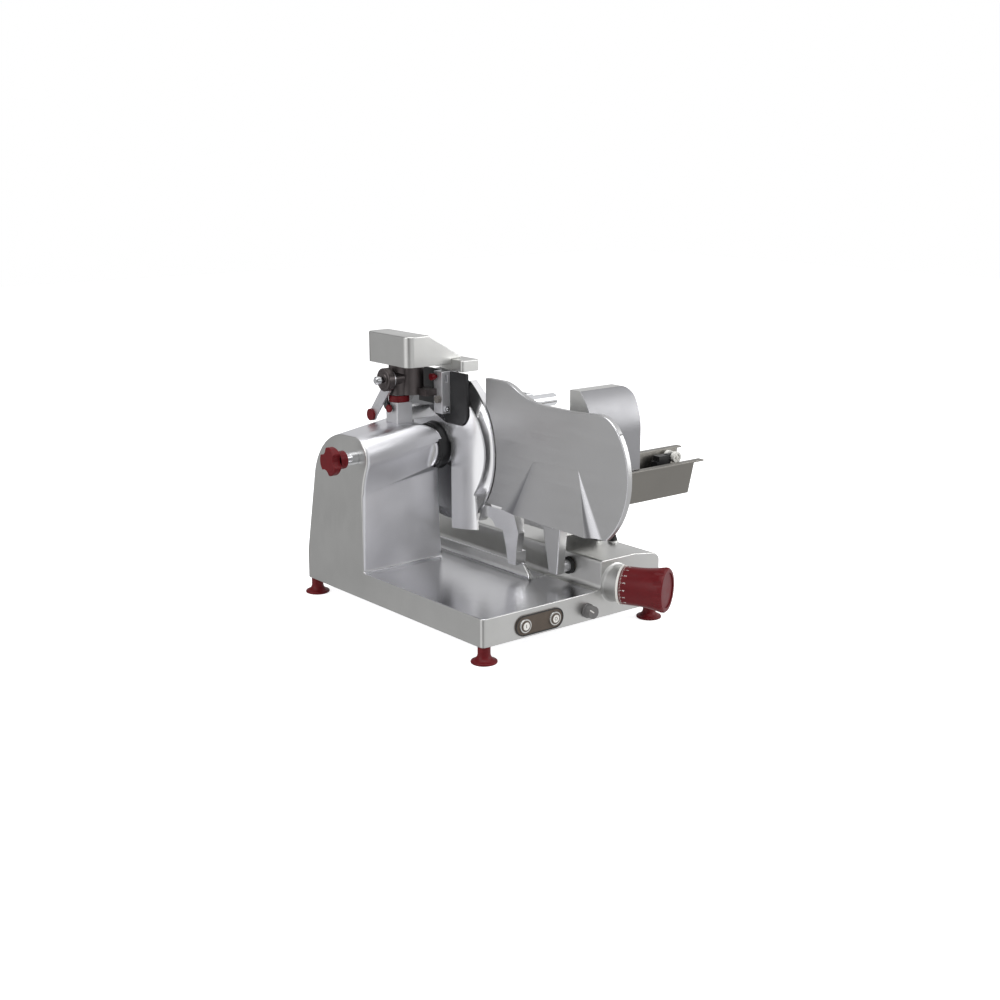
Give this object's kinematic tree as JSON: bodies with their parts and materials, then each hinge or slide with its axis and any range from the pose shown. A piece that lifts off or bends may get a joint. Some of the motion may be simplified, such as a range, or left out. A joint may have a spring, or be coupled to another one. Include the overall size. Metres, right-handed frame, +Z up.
{
  "type": "electric food slicer",
  "caption": "upright food slicer with a vertical blade, sliding food carriage, adjustable gauge plate and built-in sharpener on a cast base",
  "frame": {"origin": "on the floor below the middle of the whole machine", "axes": "X to the right along the front with the controls, Y from the front to the back along the travel of the carriage, Z up"},
  "size_m": [0.595, 0.714, 0.53],
  "materials": {
    "satin_casting": "satin aluminium casting",
    "gauge_metal": "fine brushed aluminium",
    "polished_steel": "mirror polished stainless steel",
    "bright_chrome": "chrome plate",
    "machine_steel": "machined steel",
    "burgundy_plastic": "glossy burgundy plastic",
    "white_plastic": "white plastic",
    "black_plastic": "black plastic",
    "black_rubber": "black rubber",
    "panel_film": "dark brown keypad film",
    "bezel_metal": "brushed steel rings",
    "grey_plastic": "grey plastic",
    "dark_casting": "dark painted metal",
    "bronze": "bearing bronze",
    "abrasive": "grey abrasive stone"
  },
  "bodies": {
    "base": {"base_casting": "satin_casting", "bottom_cover": "machine_steel", "feet": "burgundy_plastic", "cord_gland": "black_plastic", "control_panel": "panel_film", "button_bezels": "bezel_metal", "index_ring": "white_plastic", "motor": "dark_casting", "drive_belt": "black_rubber", "blade_bearings": "machine_steel", "bearing_flange": "black_plastic", "blade_cover": "polished_steel", "ring_guard": "polished_steel", "slice_deflector": "polished_steel", "slide_bush": "bronze", "shaft_seal": "black_rubber", "guide_bar": "bright_chrome", "carriage_buffer": "black_rubber", "sharpener_block": "machine_steel", "sharpener_post": "machine_steel", "post_collar": "burgundy_plastic"},
    "blade_unit": {"blade_pulley": "machine_steel", "blade_shaft": "machine_steel", "blade": "polished_steel"},
    "motor_rotor": {"motor_pulley": "machine_steel"},
    "tie": {"tie_rod": "machine_steel", "tie_rod_sleeve": "bright_chrome", "tie_rod_knob": "burgundy_plastic"},
    "gauge": {"gauge_plate": "gauge_metal", "gauge_shaft": "machine_steel", "cam_follower": "machine_steel"},
    "cam_roller": {"follower_roller": "machine_steel"},
    "setting_knob": {"thickness_knob": "burgundy_plastic"},
    "cam": {"cam_shaft": "machine_steel", "spiral_cam": "bronze"},
    "start": {"start_button": "white_plastic"},
    "stop": {"stop_button": "white_plastic"},
    "selector": {"selector_knob": "grey_plastic"},
    "carriage": {"carriage_slider": "satin_casting", "carriage_bed": "satin_casting", "food_trough": "gauge_metal", "hand_guard": "satin_casting", "food_table": "satin_casting", "clamp_post": "bright_chrome"},
    "clamp": {"food_clamp": "bright_chrome", "clamp_plate": "bright_chrome"},
    "pusher_block": {"pusher": "black_plastic"},
    "rollers": {"pusher_rollers": "white_plastic"},
    "head": {"sharpener_head": "dark_casting", "sharpener_cover": "satin_casting", "wheel_cap": "satin_casting", "sharpener_bracket": "machine_steel", "stone_shield": "black_plastic"},
    "grinder": {"grinding_stone": "abrasive"},
    "hone": {"honing_stone": "abrasive"},
    "stone_push": {"stone_button": "burgundy_plastic"},
    "lever": {"press_lever": "machine_steel", "lever_grip": "burgundy_plastic"},
    "pull": {"plunger": "bright_chrome"},
    "catch": {"clamp_lever": "black_plastic"}
  },
  "joints": [
    {"name": "blade_spin", "type": "hinge", "parent": "base", "child": "blade_unit", "pos_m": [-0.0455, 0.164, 0.306], "axis": [1, 0, 0], "continuous": true},
    {"name": "motor_turn", "type": "hinge", "parent": "base", "child": "motor_rotor", "pos_m": [-0.1015, 0.232, 0.142], "axis": [1, 0, 0], "continuous": true},
    {"name": "tie_rod_turn", "type": "hinge", "parent": "base", "child": "tie", "pos_m": [-0.2755, 0.164, 0.306], "axis": [1, 0, 0], "continuous": true},
    {"name": "thickness_turn", "type": "hinge", "parent": "base", "child": "setting_knob", "pos_m": [0.0765, -0.238, 0.092], "axis": [0.454, -0.891, 0], "range_deg": [0, 300]},
    {"name": "cam_turn", "type": "hinge", "parent": "base", "child": "cam", "pos_m": [0.0765, -0.2, 0.092], "axis": [0, -1, 0], "range_deg": [0, 300]},
    {"name": "gauge_slide", "type": "slide", "parent": "base", "child": "gauge", "axis": [-1, 0, 0], "range_m": [0, 0.016]},
    {"name": "cam_roller_spin", "type": "hinge", "parent": "gauge", "child": "cam_roller", "pos_m": [0.108, -0.166, 0.092], "axis": [0, 1, 0], "continuous": true},
    {"name": "start_press", "type": "slide", "parent": "base", "child": "start", "axis": [0, 1, 0], "range_m": [0, 0.003], "stiffness_N_per_m": 400},
    {"name": "stop_press", "type": "slide", "parent": "base", "child": "stop", "axis": [0, 1, 0], "range_m": [0, 0.003], "stiffness_N_per_m": 400},
    {"name": "selector_turn", "type": "hinge", "parent": "base", "child": "selector", "pos_m": [0.0075, -0.22, 0.052], "axis": [0, 1, 0], "range_deg": [0, 90]},
    {"name": "carriage_slide", "type": "slide", "parent": "base", "child": "carriage", "axis": [0, 1, 0], "range_m": [0, 0.31]},
    {"name": "clamp_slide", "type": "slide", "parent": "carriage", "child": "clamp", "axis": [0, 0, -1], "range_m": [0, 0.06]},
    {"name": "pusher_slide", "type": "slide", "parent": "carriage", "child": "pusher_block", "axis": [-1, 0, 0], "range_m": [0, 0.15]},
    {"name": "roller_spin", "type": "hinge", "parent": "pusher_block", "child": "rollers", "pos_m": [0.2525, -0.187, 0.301], "axis": [0, 1, 0], "continuous": true},
    {"name": "head_lift", "type": "slide", "parent": "base", "child": "head", "axis": [0, 0, 1], "range_m": [0, 0.04]},
    {"name": "grinder_spin", "type": "hinge", "parent": "head", "child": "grinder", "pos_m": [-0.0455, 0.116, 0.406], "axis": [1, 0, 0], "continuous": true},
    {"name": "hone_spin", "type": "hinge", "parent": "head", "child": "hone", "pos_m": [-0.0165, 0.104, 0.46699], "axis": [1, 0, 0], "continuous": true},
    {"name": "stone_press", "type": "slide", "parent": "head", "child": "stone_push", "axis": [1, 0, 0], "range_m": [0, 0.004], "stiffness_N_per_m": 300},
    {"name": "lever_swing", "type": "hinge", "parent": "head", "child": "lever", "pos_m": [-0.1465, 0.173, 0.445], "axis": [1, 0, 0], "range_deg": [0, 60]},
    {"name": "plunger_pull", "type": "slide", "parent": "head", "child": "pull", "axis": [-1, 0, 0], "range_m": [0, 0.008], "stiffness_N_per_m": 300},
    {"name": "catch_turn", "type": "hinge", "parent": "base", "child": "catch", "pos_m": [-0.1405, 0.193, 0.391], "axis": [1, 0, 0], "range_deg": [0, 40]}
  ],
  "couplings": [
    {"joint": "motor_turn", "follows": "blade_spin", "ratio": 2},
    {"joint": "cam_turn", "follows": "thickness_turn", "ratio": 1},
    {"joint": "gauge_slide", "follows": "thickness_turn", "m_per_rad": 0.0030558}
  ]
}
